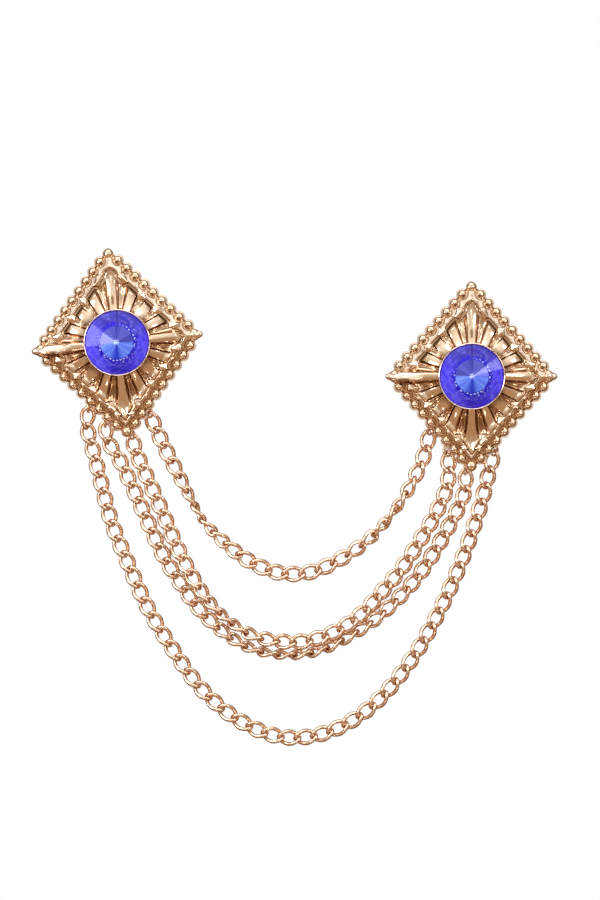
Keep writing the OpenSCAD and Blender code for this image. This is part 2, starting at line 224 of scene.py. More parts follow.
# Back of the plate from the edge inwards: hollow and boss. Columns: radius, height.
BACK = [(HOLLOW_R_OUT + 0.1, 0.0), (HOLLOW_R_OUT, HOLLOW_EDGE), (BEZEL_R, HOLLOW_DEPTH),
        (HOLLOW_R_IN + 0.1, HOLLOW_DEPTH), (HOLLOW_R_IN, HOLLOW_DEPTH - 0.1), (HOLLOW_R_IN, 0.05),
        (HOLLOW_R_IN - 0.05, 0.0), (BOSS_R, 0.0), (BOSS_R, -BOSS_DROP + 0.1), (BOSS_R - 0.1, -BOSS_DROP)]

# Rows of the plate's grid over the sunburst and over the rail, and their places in the groove
DOME_ROWS = 30
RAIL_ROWS = 42
GROOVE_ROWS = (0.47, 0.41, 0.3, 0.1, -0.1)

# Pin
PAD_R = 4.0
PAD_T = 0.8
POST_R = 0.55
POST_L = 7.0
POINT_L = 1.2
PIN_SEGMENTS = 64

# Chain. The drawn wire is a little thicker than the CAD one, and its links are a little shorter and narrower.
CAD_WIRE_R = 0.32
WIRE_R = 0.375
LINK_HALF_W = 1.27
LINK_TRIM = 0.05
LINK_END = 0.51
TWIST = math.radians(52)
LINK_STEPS = 48
LINK_WIRE_SIDES = 14
EYE_R = 0.95
EYE_WIRE_R = 0.27
EYE_STEPS = 36
EYE_WIRE_SIDES = 12
LUG_R = 0.45
LUG_SEGMENTS = 20

# Angles between faces, in degrees, above which an edge is drawn sharp
SHARP_CAST = 35
SHARP_STONE = 1
SHARP_WIRE = 80


# Mesh helpers

def new_object(name, data):
    thing = bpy.data.objects.new(name, data)
    bpy.context.scene.collection.objects.link(thing)
    return thing


def mesh_object(name, points, faces, material):
    """A mesh object from points in mm."""
    mesh = bpy.data.meshes.new(name)
    mesh.from_pydata((np.asarray(points) * MM).tolist(), [], faces)
    mesh.materials.append(material)
    return new_object(name, mesh)


def make_piece(name, points, faces, nodes, slot, material, sharp, shadings=None):
    """A mesh object that stands for CAD nodes and rides on the root."""
    piece = mesh_object(name, points, faces, material)
    mesh = piece.data
    # Painted shade and highlight of each point, for the material to read
    if shadings is not None:
        sunk = mesh.attributes.new("sunk", "FLOAT", "POINT")
        sunk.data.foreach_set("value", np.asarray(shadings, dtype=np.float32))
    mesh.shade_smooth()
    mesh.set_sharp_from_angle(angle=math.radians(sharp))
    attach(piece, "root")
    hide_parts(*nodes)


class Shells:
    """Collects closed shells, each an array of points with faces, into one mesh."""

    def __init__(self):
        self.points = []
        self.faces = []
        self.shadings = []

    # Each shell carries painted shade, or a painted highlight where the value is below 0
    def add(self, points, faces, shading=0.0):
        start = sum(map(len, self.points))
        self.points.append(np.asarray(points, float))
        self.shadings.append(np.broadcast_to(shading, len(points)))
        self.faces.extend([tuple(start + k for k in face) for face in faces])

    def all_points(self):
        return np.concatenate(self.points)

    def all_shadings(self):
        return np.concatenate(self.shadings)


def ring_faces(rows, cols, closed=False):
    """Quads between the rings of a grid, and from the last ring to the first where the grid is closed."""
    faces = []
    for r in range(rows if closed else rows - 1):
        low = r * cols
        high = (r + 1) % rows * cols
        for c in range(cols):
            d = (c + 1) % cols
            faces.append((low + c, low + d, high + d, high + c))
    return faces


def capped_faces(rows, cols):
    """Quads between closed rings, and a fan at each end to one of the last two points."""
    faces = ring_faces(rows, cols)
    low = rows * cols
    last = low - cols
    for c in range(cols):
        d = (c + 1) % cols
        faces.append((d, c, low))
        faces.append((last + c, last + d, low + 1))
    return faces


def lathe(profile, segments):
    """Closed solid of revolution about the third axis. The profile runs from pole to pole, upwards."""
    rows = profile[1:-1]
    angles = np.arange(segments) * 2 * math.pi / segments
    points = [(r * math.cos(a), r * math.sin(a), h) for r, h in rows for a in angles]
    points += [(0, 0, profile[0][1]), (0, 0, profile[-1][1])]
    return np.array(points), capped_faces(len(rows), segments)


def sphere(radius, segments, rings):
    """Ball about the origin."""
    profile = [(radius * math.sin(math.pi * k / rings), -radius * math.cos(math.pi * k / rings))
               for k in range(rings + 1)]
    return lathe(profile, segments)


def tube(points, frames, radius, sides):
    """Closed ring of wire along points, each with an outward and a sideways direction."""
    turns = np.arange(sides) * 2 * math.pi / sides
    rings = [p + radius * (math.cos(t) * out + math.sin(t) * side)
             for p, (out, side) in zip(points, frames) for t in turns]
    faces = [(a, d, c, b) for a, b, c, d in ring_faces(len(points), sides, closed=True)]
    return np.array(rings), faces


def smoothstep(low, high, x):
    """0 at low and 1 at high, or the other way round where low is the larger."""
    t = np.clip((x - low) / (high - low), 0, 1)
    return t * t * (3 - 2 * t)


def plateau(x, start, full, fade, end):
    """1 between full and fade, 0 outside start and end."""
    return smoothstep(start, full, x) * smoothstep(end, fade, x)


def from_table(x, rows):
    """Value at x, in straight lines between the rows of a table."""
    return np.interp(x, *zip(*rows))


def smooth_min(a, b, blend):
    mix = np.clip(0.5 + 0.5 * (b - a) / blend, 0, 1)
    return b * (1 - mix) + a * mix - blend * mix * (1 - mix)


# Brooch plate, drawn face up: across, up, height above the back of the rim

def to_world(points, brooch):
    x, z, turn = BROOCHES[brooch]
    points = np.asarray(points, float)
    c, s = math.cos(turn), math.sin(turn)
    return np.stack([x + points[:, 0] * c - points[:, 1] * s,
                     -RIM_GAP - points[:, 2],
                     z + points[:, 0] * s + points[:, 1] * c], axis=1)


def reach(angle, inset):
    """Distance from the middle to the rhombus that lies inset inside the bead centres."""
    return (1 - inset / APOTHEM) / (np.abs(np.cos(angle)) / HALF_W + np.abs(np.sin(angle)) / HALF_H)


def inset_of(x, y):
    """Distance inside the line of the beads."""
    return APOTHEM * (1 - np.abs(x) / HALF_W - np.abs(y) / HALF_H)


# Columns of the plate's grid: places across a ray, and across the fold between two rays
HALF_SHARES = [0.2, 0.4, 0.6, 0.76, 0.84, 0.9, 0.95, 1]
RAY_SHARES = [-share for share in reversed(HALF_SHARES)] + [0] + HALF_SHARES
FOLD_SHARES = [0.04, 0.09, 0.15, 0.21, 0.27, 0.33, 0.38, 0.42, 0.46, 0.5,
               0.54, 0.58, 0.62, 0.67, 0.73, 0.79, 0.85, 0.91, 0.96]


def ray_half(which, t):
    """Half width of each ray at a share t of its length."""
    which = np.mod(which, RAYS)
    main, diagonal, other = [start + more * t for start, more in (MAIN_RAY, DIAGONAL_RAY, OTHER_RAY)]
    return np.where(which % 4 == 0, main, np.where(which % 4 == 2, diagonal, other))


def plate_columns():
    """Angle of each column of the plate's grid, at the bezel and at the outer ends of the rays."""
    inner, outer = [], []
    for i in range(RAYS):
        angle = i * RAY_STEP
        half_in = [math.asin(ray_half(k, 0) / BEZEL_R) for k in (i, i + 1)]
        half_out = [math.asin(ray_half(k, 1) / reach(k * RAY_STEP, BLADE_END)) for k in (i, i + 1)]
        for angles, half in ((inner, half_in), (outer, half_out)):
            angles += [angle + s * half[0] for s in RAY_SHARES]
            angles += [angle + half[0] + u * (RAY_STEP - sum(half)) for u in FOLD_SHARES]
    return np.array(inner), np.array(outer)


class Place:
    """Where points of the front lie, seen from the middle, from the nearest ray and from the border."""

    def __init__(self, x, y):
        radius = np.hypot(x, y)
        angle = np.arctan2(y, x)
        index = np.round(angle / RAY_STEP)
        off = angle - index * RAY_STEP
        which = np.mod(index, RAYS).astype(int)
        self.x, self.y = x, y
        self.inset = inset_of(x, y)
        self.side = np.abs(radius * np.sin(off))
        self.along = radius * np.cos(off)
        self.beside = np.maximum(radius * np.sin(RAY_STEP / 2 - np.abs(off)), 0)
        self.t = np.clip((radius - BEZEL_R) / (reach(angle, BLADE_END) - BEZEL_R), 0, 1.3)
        self.main = which % 4 == 0
        self.north, self.west, self.south = which == NORTH, which == WEST, which == SOUTH
        self.lower = smoothstep(HALFWAY, -HALFWAY, np.sin(angle))
        self.rising = smoothstep(-HALFWAY, HALFWAY, np.sin(index * RAY_STEP))
        self.upper = self.rising * ~self.main
        half = ray_half(which, np.clip(self.t, 0, 1))
        self.half = np.where(self.south, from_table(self.along, SPEAR), half)
        self.rounded = self.main & ~self.south
        end_r = reach(index * RAY_STEP, BLADE_END)
        self.past = np.where(self.rounded, np.maximum(self.along - (end_r - self.half), 0), 0)
        self.across = np.hypot(self.side, self.past)


def crown(shoulder, share, roundness):
    """Height across a ray: shoulder at the edges, 1 in the middle."""
    return shoulder + (1 - shoulder) * np.sqrt(np.clip(1 - roundness * share ** 2, 0, 1))


def ray_profile(p):
    """Height of a ray above the fold beside it, as a share: curved blades, rounder main rays, a spear."""
    edge = p.half - p.across
    share = p.across / p.half
    blade = smoothstep(0, BLADE_EDGE, edge) * crown(BLADE_SHOULDER, share, BLADE_ROUND)
    bar = smoothstep(0, BAR_EDGE, edge) * crown(BAR_SHOULDER, p.side / p.half, 1)
    crease = smoothstep(*CREASE_SPAN, p.along) * np.clip(1 - share / CREASE_SHARE, 0, 1) * CREASE_DEPTH
    profile = np.where(p.main, bar, blade)
    profile = np.where(p.south, smoothstep(0, SPEAR_EDGE, edge) - crease, profile)
    return profile * (1 - p.upper * smoothstep(BLADE_END + 0.08, BLADE_END - 0.04, p.inset))


def blade_top(t):
    """Height along a ray: steep at the bezel, lowest near the outer end, which turns up a little."""
    return BLADE_LOW + (HUB_H - BLADE_LOW) * np.abs(1 - t / BLADE_LOW_AT) ** 1.5


def sunburst(p):
    """Height of the rays and of the tongues between them, the rays' profile, and the painted shade on them.
    """
    profile = ray_profile(p)
    t = np.minimum(p.t, 1)
    top = blade_top(t) + np.where(p.main, MAIN_RISE, 0)
    ridge = RIDGE_OUT + (RIDGE_IN - RIDGE_OUT) * (1 - t / RIDGE_LOW_AT) ** 2
    within = np.minimum(TONGUE[0] + TONGUE[1] * t - p.beside, (p.t - TONGUE_START) * 5)
    trough = (TROUGH + TROUGH_BELOW * p.lower) * smoothstep(0.06, 0.3, within)
    trough = trough - KEEL * smoothstep(0.16, 0.0, p.beside)
    tongue = ridge - trough * smoothstep(1.0, 0.8, p.t) - TONGUE_SLOPE * np.clip(-within, 0, None)
    valley = ridge - VALLEY_DROP
    height = valley + (top - valley) * profile
    height = np.maximum(height, np.maximum(tongue, valley)) - DOME_DROP * smoothstep(*DROP_SPAN, p.inset)
    # Painted shade inside each tongue's trough and in the folds beside it, deeper in the lower half
    middle = (MIDDLE_DARK + (1 - MIDDLE_DARK) * p.lower) * smoothstep(0.1, 0.3, within)
    middle = middle * smoothstep(1.0, 0.7, p.t)
    fold = (FOLD_DARK + (1 - FOLD_DARK) * p.lower) * smoothstep(-0.04, -0.12, within)
    return height, profile, np.where(profile > 0.5, 0.0, np.maximum(middle, fold))


def rail_form(p):
    """Height of the rail with its niches and knobs, and the distance inside the nearest niche's edge."""
    top = from_table(p.inset, RAIL_TOP) - RAIL_DIP * smoothstep(0.3, 1.3, p.beside)
    past_crest = p.inset - RAIL_CREST
    niche_half = NICHE_HALF_W + NICHE_FLARE * np.clip(past_crest, 0, 1.2)
    niche = smooth_min(niche_half - p.side, past_crest, NICHE_BLEND)
    niche = np.where(p.main, smooth_min(p.half + ARCH_GAP - p.across, past_crest + 0.1, ARCH_BLEND), niche)
    niche = np.where(p.south, smooth_min(p.half + SPEAR_GAP - p.side, past_crest, ARCH_BLEND), niche)
    niche = np.maximum(niche, (p.inset - TOOTH_END) * 1.2)
    ledge = from_table(niche, LEVEL_LEDGE) * p.rising + from_table(niche, SLOPED_LEDGE) * (1 - p.rising)
    step_down = ledge + from_table(niche, SLOT_STEP) * p.upper
    lip = LIP_H * np.exp(-((niche + LIP_W) / LIP_W) ** 2)
    bevel = BEVEL_SLOPE * np.maximum(past_crest - BEVEL_IN, 0) * smoothstep(0.1, 0, niche) * ~p.main
    from_knob = np.hypot(p.inset - KNOB_INSET, p.side) / KNOB_R
    knobs = np.sqrt(np.clip(1 - from_knob ** 2, 0, 1)) * (1 - p.rising) * ~p.main
    return top + step_down + lip - bevel + KNOB_H * knobs, niche


def in_shadow(p, niche, profile):
    """Whether points lie in the slot at the back of an upper niche, or round the end of a main ray."""
    slot = (p.upper > 0.5) & (niche > 0.5) & (profile < 0.5) & (p.side < p.half + 0.1) & (p.inset < SLOT_END)
    from_ray = p.across - p.half
    return slot | (p.rounded & (p.past > 0) & (from_ray > -0.02) & (from_ray < 0.14) & (p.side > 0.5))


def add_studs(p, height, sunk):
    """Studs on the teeth of the rail and round the bottom corner, with a line of painted shade at the foot of
    each.
    """
    studs = [((np.abs(p.inset - STUD_INSET) + p.beside) / STUD_HALF, RAIL_H, STUD_FOOT)]
    for x, y, size in CORNER_STUDS:
        away = (np.abs(np.abs(p.x) - x) + np.abs(p.y - y)) / size
        studs.append((away, RAIL_H - CORNER_DROP, CORNER_FOOT))
    for away, base, foot in studs:
        sunk = np.maximum(sunk, STUD_DARK * smoothstep(*foot, away))
        sunk = np.where(away < 1, 0, sunk)
        height = np.where(away < 1, np.maximum(height, base + STUD_H * (1 - away)), height)
    return height, sunk


def bead_outline(p):
    """1 in a narrow ring round each bead, 0 elsewhere."""
    along_edge = ((HALF_W - np.abs(p.x)) * HALF_W + np.abs(p.y) * HALF_H) / EDGE - TIP_ROOM
    nearest = np.clip(np.round(along_edge / BEAD_PITCH), 0, BEADS_PER_SIDE - 1)
    distance = np.hypot(along_edge - nearest * BEAD_PITCH, p.inset)
    return plateau(distance - BEAD_R, *OUTLINE) * (p.inset > 0.3)


def long_ray_form(p):
    """Height of the ray that runs out to the left tip, and which points lie on it."""
    half = from_table(p.along, LONG_RAY)
    curve = LONG_RAY_ROUND * (np.cbrt(np.clip(half ** 3 - p.side ** 3, 0, None)) - half)
    lean = ROD_TILT * p.y * smoothstep(*TILT_SPAN, p.along) * p.west
    return from_table(p.along, LONG_RAY_TOP) + curve - lean, p.west & (p.side < half)


def relief(x, y):
    """Height of the front surface between the bezel and the rail's outer foot, and its painted shade and
    highlight.
    """
    p = Place(x, y)
    height, profile, sunk = sunburst(p)
    rail, niche = rail_form(p)
    on_rail = rail > height
    # Painted shade in a line inside each niche's edge, and a painted highlight on the rail in the upper half
    sunk = np.where(on_rail, NICHE_DARK * plateau(niche, *NICHE_LINE), sunk)
    highlight = RAIL_HIGHLIGHT * p.rising * on_rail * plateau(p.inset, *RAIL_HIGHLIGHT_SPAN)
    # Painted shadow, at its deepest, in the slot behind each upper niche and round the end of each main ray
    sunk = np.where(in_shadow(p, niche, profile), DEEPEST_SHADE, sunk)
    height, sunk = add_studs(p, np.maximum(height, rail), sunk)
    # Painted shade along the middle of the upper ray, near the bezel
    mark = p.north * plateau(p.along, *MARK_SPAN) * smoothstep(0.34, 0.22, p.side)
    sunk = np.maximum(sunk, MARK_DARK * mark)
    # Painted shade in a ring round each bead, darker in the upper half
    sunk = np.maximum(sunk, (OUTLINE_DARK[0] + OUTLINE_DARK[1] * p.rising) * bead_outline(p))

    # Long ray, with a painted highlight on its outer part and a patch of painted shadow on its lower side
    long_ray, on_ray = long_ray_form(p)
    over = on_ray & (long_ray > height)
    highlight = np.where(over, ROD_HIGHLIGHT * smoothstep(*ROD_HIGHLIGHT_SPAN, p.along), highlight)
    sunk = np.where(over, 0, sunk)
    patch = plateau(p.along, *PATCH_SPAN) * plateau(p.y, *PATCH_HEIGHT)
    sunk = np.where(p.west, np.maximum(sunk, PATCH_DARK * patch), sunk)
    height = np.where(over, long_ray, height)

    # Groove outside the rail, with painted shade in it
    foot = smoothstep(RAIL_OUT + 0.02, RAIL_OUT - 0.08, p.inset)
    groove = from_table(p.inset, GROOVE)
    outer = np.where(on_ray, np.maximum(long_ray, groove), groove)
    sunk = sunk * (1 - foot) + GROOVE_SHADE * foot * (outer == groove)
    # Painted shade where there is any, else the painted highlight, drawn below 0
    sunk = np.where(sunk > 0.02, np.minimum(sunk, DEEPEST_SHADE), -highlight)
    return height * (1 - foot) + outer * foot, sunk


def ring(radius, angles, height=0.0):
    """One row of the plate's grid. The radius is a number, or one for each angle."""
    return np.stack([radius * np.cos(angles), radius * np.sin(angles), np.full(len(angles), height)], axis=1)


def bezel_rows():
    """Radius and height of each ring from the foot of the stone's seat over the bezel to the sunburst."""
    seat_r = STONE_R + STONE_GAP
    seat_top = GIRDLE_Z + GIRDLE_T + STONE_GAP
    seat = [(TABLE_R + STONE_GAP, SEAT_Z), (seat_r, GIRDLE_Z - STONE_GAP), (seat_r, seat_top)]
    top = [(LIP_R + out, RIM_Z + up) for out, up in BEZEL_TOP]
    return seat + [(LIP_R, seat_top + 0.02)] + top + [(BEZEL_R - 0.04, RIM_Z - 0.6), (BEZEL_R, HUB_H + 0.1)]


def plate_body():
    """The cast body as one closed grid: stone seat, bezel, sunburst, rail, rim, back and boss."""
    a_in, a_out = plate_columns()
    plain = np.zeros(len(a_in))
    rows, sunk = [], []
    for r, h in bezel_rows():
        rows.append(ring(r, a_in, h))
        # Painted highlight on the bezel's top, stronger on its left side
        on_top = h > RIM_Z - 0.3
        sunk.append(BEZEL_LEFT * np.cos(a_in) - BEZEL_HIGHLIGHT if on_top else plain)
    inner = ring(BEZEL_R, a_in)
    outer = ring(reach(a_out, DOME_END), a_out)
    spots = [inner * (1 - t) + outer * t for t in np.linspace(0, 1, DOME_ROWS)]
    insets = [*np.linspace(DOME_END - 0.05, RAIL_OUT + 0.03, RAIL_ROWS), *GROOVE_ROWS]
    spots += [ring(reach(a_out, inset), a_out) for inset in insets]
    for spot in spots:
        height, shading = relief(spot[:, 0], spot[:, 1])
        rows.append(np.column_stack([spot[:, :2], height]))
        sunk.append(shading)
    # Painted shade on the plate's edge
    for inset, h in RIM:
        rows.append(ring(reach(a_out, inset), a_out, h))
        sunk.append(plain + RIM_SHADE)
    for r, h in BACK:
        rows.append(ring(r, a_out, h))
        sunk.append(plain)
    points = np.concatenate(rows + [[[0, 0, SEAT_Z], [0, 0, -BOSS_DROP]]])
    faces = [face[::-1] for face in capped_faces(len(rows), len(a_in))]
    return points, faces, np.concatenate(sunk + [np.zeros(2)])


def bead_spots():
    """Middle of each round bead of the border."""
    corners = np.array([[HALF_W, 0], [0, HALF_H], [-HALF_W, 0], [0, -HALF_H]])
    spots = []
    for k in range(4):
        along = (corners[(k + 1) % 4] - corners[k]) / EDGE
        spots += [corners[k] + (TIP_ROOM + i * BEAD_PITCH) * along for i in range(BEADS_PER_SIDE)]
    return spots


# Flange under a bead. All of them together make the border scalloped. Columns: radius, height.
FLANGE_PROFILE = [(0, 0.1), (FLANGE_R - 0.06, 0.1), (FLANGE_R, 0.2), (FLANGE_R - 0.02, 0.32),
                  (FLANGE_R - 0.2, 0.95), (FLANGE_R - 0.24, 0.98), (FLANGE_R - 0.27, 0.9),
                  (FLANGE_R - 0.32, 0.5), (0, 0.5)]

# Tip pieces along their axis. Columns: radius, distance from the corner of the rhombus.
SIDE_TIP = [(0, -1.7), (0.6, -1.62), (1.0, -1.4), (1.25, -1.05), (1.28, -0.7), (1.14, -0.35), (0.92, -0.08),
            (0.78, 0.14), (0.7, 0.36), (0.6, 0.58), (0.43, 0.8), (0.22, 0.94), (0, 0.99)]
TOP_TIP = [(0, -1.65), (0.55, -1.55), (0.9, -1.25), (1.07, -0.85), (1.1, -0.5), (1.0, -0.1), (0.78, 0.22),
           (0.5, 0.44), (0.26, 0.55), (0, 0.59)]

# Pieces on the side corners, and on the top and bottom ones: profile, corner, lift, height against width
TIPS = [(SIDE_TIP, HALF_W, 0.5, 0.72), (TOP_TIP, HALF_H, 0, 0.98)]


def turned_tip(angle, profile, corner_r, lift, height):
    """A tip piece laid along the plate, pointing out at an angle."""
    points, faces = lathe(profile, BEAD_SEGMENTS)
    out = points[:, 2] + corner_r
    across = points[:, 0]
    up = SLAB_T + lift - points[:, 1] * height
    c, s = math.cos(angle), math.sin(angle)
    laid = np.stack([out * c - across * s, out * s + across * c, up], axis=1)
    return laid, [face[::-1] for face in faces]


# Distance from a bead's middle towards the rail where its crescent of painted shade starts, above and below
CRESCENT_ABOVE = 0.1
CRESCENT_BELOW = 0.3


def crescent(ball, inward, start):
    """Painted shade on the points of a bead: a dark crescent on the side of the rail, none elsewhere."""
    towards_rail = ball[:, :2] @ inward
    along_rail = np.abs(ball[:, :2] @ [inward[1], -inward[0]])
    across = plateau(towards_rail, start, start + 0.1, start + 0.32, start + 0.45)
    return DEEPEST_SHADE * across * smoothstep(0.48, 0.3, along_rail) * (ball[:, 2] > 0)


def border_shells(shells, brooch):
    """Beads with their flanges, and the tip piece on each corner."""
    ball, ball_faces = sphere(BEAD_R, BEAD_SEGMENTS, BEAD_RINGS)
    disc, disc_faces = lathe(FLANGE_PROFILE, BEAD_SEGMENTS)
    for x, y in bead_spots():
        inward = -np.array([math.copysign(HALF_H, x), math.copysign(HALF_W, y)]) / EDGE
        dark = crescent(ball, inward, CRESCENT_ABOVE if y > 0 else CRESCENT_BELOW)
        shells.add(to_world(ball + [x, y, SLAB_T + BEAD_LIFT], brooch), ball_faces, dark)
        shells.add(to_world(disc + [x, y, 0], brooch), disc_faces)
    for quarter in range(4):
        points, faces = turned_tip(quarter * math.pi / 2, *TIPS[quarter % 2])
        shells.add(to_world(points, brooch), faces)


# Chain links, read from the CAD nodes

def link_frames(node):
    """Middle, direction, side and half length of each link of a CAD strand, in mm."""
    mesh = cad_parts[node].data
    co = np.zeros(len(mesh.vertices) * 3)
    mesh.vertices.foreach_get("co", co)
    co = co.reshape(-1, 3) / MM
    keys, merged = np.unique(np.round(co, 3), axis=0, return_inverse=True)
    merged = merged.ravel()
    group = np.arange(len(keys))

    def root(k):
        while group[k] != k:
            group[k] = group[group[k]]
            k = group[k]
        return k

    for edge in mesh.edges:
        a, b = root(merged[edge.vertices[0]]), root(merged[edge.vertices[1]])
        group[max(a, b)] = min(a, b)
    roots = np.array([root(k) for k in range(len(keys))])
    frames = []
    for r in np.unique(roots):
        points = keys[roots == r]
        middle = points.mean(axis=0)
        axes = np.linalg.eigh(np.cov((points - middle).T))[1]
        along, side = axes[:, 2], axes[:, 1]
        half = ((points - middle) @ along).max() - CAD_WIRE_R
        frames.append((middle, along, side, half))
    return frames


# Angle in radians over which the direction of the wire is taken
STEP_AHEAD = 0.02


def link_point(f, angle):
    """Middle of the wire at an angle round a link."""
    middle, along, side, half = f
    front = np.cross(side, along)
    v = LINK_HALF_W * math.sin(angle)
    turn = TWIST * math.cos(angle)
    return middle + half * math.cos(angle) * along + v * (math.cos(turn) * side + math.sin(turn) * front)


def link_shell(f):
    """One twisted link of round wire."""
    f = (*f[:3], f[3] - LINK_TRIM)
    angles = np.arange(LINK_STEPS) * 2 * math.pi / LINK_STEPS
    points, frames = [], []
    for angle in angles:
        p = link_point(f, angle)
        ahead = link_point(f, angle + STEP_AHEAD) - link_point(f, angle - STEP_AHEAD)
        t = ahead / np.linalg.norm(ahead)
        away = p - f[0] - ((p - f[0]) @ t) * t
        out = away / np.linalg.norm(away)
        points.append(p)
        frames.append((out, np.cross(t, out)))
    return tube(points, frames, WIRE_R, LINK_WIRE_SIDES)


def end_link(frames, x_sign):
    """The top link on one side of a strand, with its direction pointing down the strand."""
    middle_x = (BROOCHES["left"][0] + BROOCHES["right"][0]) / 2
    side_links = [f for f in frames if (f[0][0] - middle_x) * x_sign > 0]
    middle, along, side, half = max(side_links, key=lambda f: f[0][2])
    if along[2] > 0:
        along = -along
    return middle, along, side, half


def eye_shells(shells, f):
    """Ring through which a strand's end link passes, and the lug behind the plate that holds it."""
    middle, into, side, half = f
    front = np.cross(side, into)
    across = math.cos(TWIST) * side + math.sin(TWIST) * front
    axis = np.cross(into, across)
    centre = middle - (half - LINK_END) * into + (LINK_END - EYE_R) * into
    points, frames = [], []
    for k in range(EYE_STEPS):
        a = k * 2 * math.pi / EYE_STEPS
        out = math.cos(a) * into + math.sin(a) * across
        points.append(centre + EYE_R * out)
        frames.append((out, -axis))
    shells.add(*tube(points, frames, EYE_WIRE_R, EYE_WIRE_SIDES))
    root = centre - EYE_R * into
    length = RIM_GAP + SLAB_T / 2 + root[1]
    lug = [(0, 0), (LUG_R - 0.05, 0), (LUG_R, 0.05), (LUG_R, length), (0, length)]
    rod, faces = lathe(lug, LUG_SEGMENTS)
    laid = np.stack([rod[:, 0], -rod[:, 2], rod[:, 1]], axis=1)
    shells.add(laid + root, faces)


# Stone

def stone_shell(brooch):
    """Cone-cut stone: sixteen flat facets from a tiny table to the girdle, above and below."""
    n = STONE_FACETS
    top = GIRDLE_Z + GIRDLE_T
    angles = (np.arange(n) + 0.5) * 2 * math.pi / n + FACET_TURNS[brooch]
    rings = [(TABLE_R, GIRDLE_Z - PAVILION_H), (STONE_R, GIRDLE_Z), (STONE_R, top), (TABLE_R, top + CROWN_H)]
    points = np.array([(r * math.cos(a), r * math.sin(a), h) for r, h in rings for a in angles])
    faces = ring_faces(len(rings), n)
    faces.append(tuple(range(n))[::-1])
    faces.append(tuple(range(3 * n, 4 * n)))
    return to_world(points, brooch), faces


# Pin

def pin_shell(brooch):
    """Plain pad and pointed post."""
    x, z, _ = BROOCHES[brooch]
    profile = [(0, -PAD_T), (PAD_R - 0.15, -PAD_T), (PAD_R - 0.04, -PAD_T + 0.05), (PAD_R, -PAD_T + 0.15),
               (PAD_R, -0.12), (PAD_R - 0.04, -0.04), (PAD_R - 0.12, 0), (POST_R, 0), (POST_R, POST_L),
               (POST_R * 0.6, POST_L + POINT_L * 0.55), (POST_R / 4, POST_L + POINT_L - 0.03),
               (0, POST_L + POINT_L)]
    points, faces = lathe(profile, PIN_SEGMENTS)
    laid = np.stack([points[:, 0], points[:, 2], points[:, 1]], axis=1) + [x, 0, z]
    return laid, [face[::-1] for face in faces]


# Materials

def new_material(name, kind="ShaderNodeBsdfPrincipled"):
    material = bpy.data.materials.new(name)
    material.use_nodes = True
    tree = material.node_tree
    tree.nodes.clear()
    shader = tree.nodes.new(kind)
    out = tree.nodes.new("ShaderNodeOutputMaterial")
    tree.links.new(shader.outputs[0], out.inputs[0])
    return material, tree, shader


def coordinates(tree, kind):
    """X, Y and Z of a place or direction."""
    place = tree.nodes.new("ShaderNodeTexCoord")
    split = tree.nodes.new("ShaderNodeSeparateXYZ")
    tree.links.new(place.outputs[kind], split.inputs[0])
    return split.outputs


def noise_over(tree, place, scale, detail, roughness=0.5):
    node = tree.nodes.new("ShaderNodeTexNoise")
    node.inputs["Scale"].default_value = scale
    node.inputs["Detail"].default_value = detail
    node.inputs["Roughness"].default_value = roughness
    tree.links.new(place, node.inputs["Vector"])
    return node.outputs["Fac"]


def noise(tree, scale, detail=2.0, roughness=0.5):
    """Noise over the object's own coordinates. The scale is in features per mm."""
    place = tree.nodes.new("ShaderNodeTexCoord")
    return noise_over(tree, place.outputs["Object"], scale / MM, detail, roughness)


def map_range(tree, value, low, high, to_low=0, to_high=1, kind="LINEAR"):
    node = tree.nodes.new("ShaderNodeMapRange")
    node.interpolation_type = kind
    for name, number in (("From Min", low), ("From Max", high), ("To Min", to_low), ("To Max", to_high)):
        node.inputs[name].default_value = number
    tree.links.new(value, node.inputs["Value"])
    return node.outputs["Result"]


def soft_step(tree, value, low, high):
    """The same as smoothstep, in nodes."""
    ends = (0, 1) if low < high else (1, 0)
    return map_range(tree, value, min(low, high), max(low, high), *ends, "SMOOTHSTEP")


def feed(tree, socket, value):
    """Gives a socket a colour or a number, or what another node puts out."""
    if isinstance(value, tuple):
        socket.default_value = (*value, 1)
    elif isinstance(value, (int, float)):
        socket.default_value = value
    else:
        tree.links.new(value, socket)


# Sockets of a mix node that mixes colours: factor, first colour and second colour, and its result
MIX_INPUTS = (0, 6, 7)
MIX_RESULT = 2


def mix_colour(tree, factor, first, second, blend="MIX"):
    node = tree.nodes.new("ShaderNodeMix")
    node.data_type = "RGBA"
    node.blend_type = blend
    for socket, value in zip(MIX_INPUTS, (factor, first, second)):
        feed(tree, node.inputs[socket], value)
    return node.outputs[MIX_RESULT]


def math_node(tree, operation, *values):
    node = tree.nodes.new("ShaderNodeMath")
    node.operation = operation
    for socket, value in zip(node.inputs, values):
        feed(tree, socket, value)
    return node.outputs[0]


def times(tree, first, second):
    return math_node(tree, "MULTIPLY", first, second)


def plus(tree, first, second):
    return math_node(tree, "ADD", first, second)


def minus(tree, first, second):
    return math_node(tree, "SUBTRACT", first, second)


def divide(tree, first, second):
    return math_node(tree, "DIVIDE", first, second)


def add_waves(tree, shader, scale, strength, distance):
    node = tree.nodes.new("ShaderNodeBump")
    node.inputs["Strength"].default_value = strength
    node.inputs["Distance"].default_value = distance * MM
    tree.links.new(noise(tree, scale), node.inputs["Height"])
    tree.links.new(node.outputs["Normal"], shader.inputs["Normal"])


# Metal. The light and the deep colour drift into each other over the surface.
PLATE_GOLD = ((0.92, 0.73, 0.56), (0.88, 0.66, 0.47))
CHAIN_GOLD = ((0.98, 0.79, 0.63), (0.96, 0.68, 0.49))
PIN_GOLD = ((0.94, 0.72, 0.50), (0.90, 0.66, 0.44))
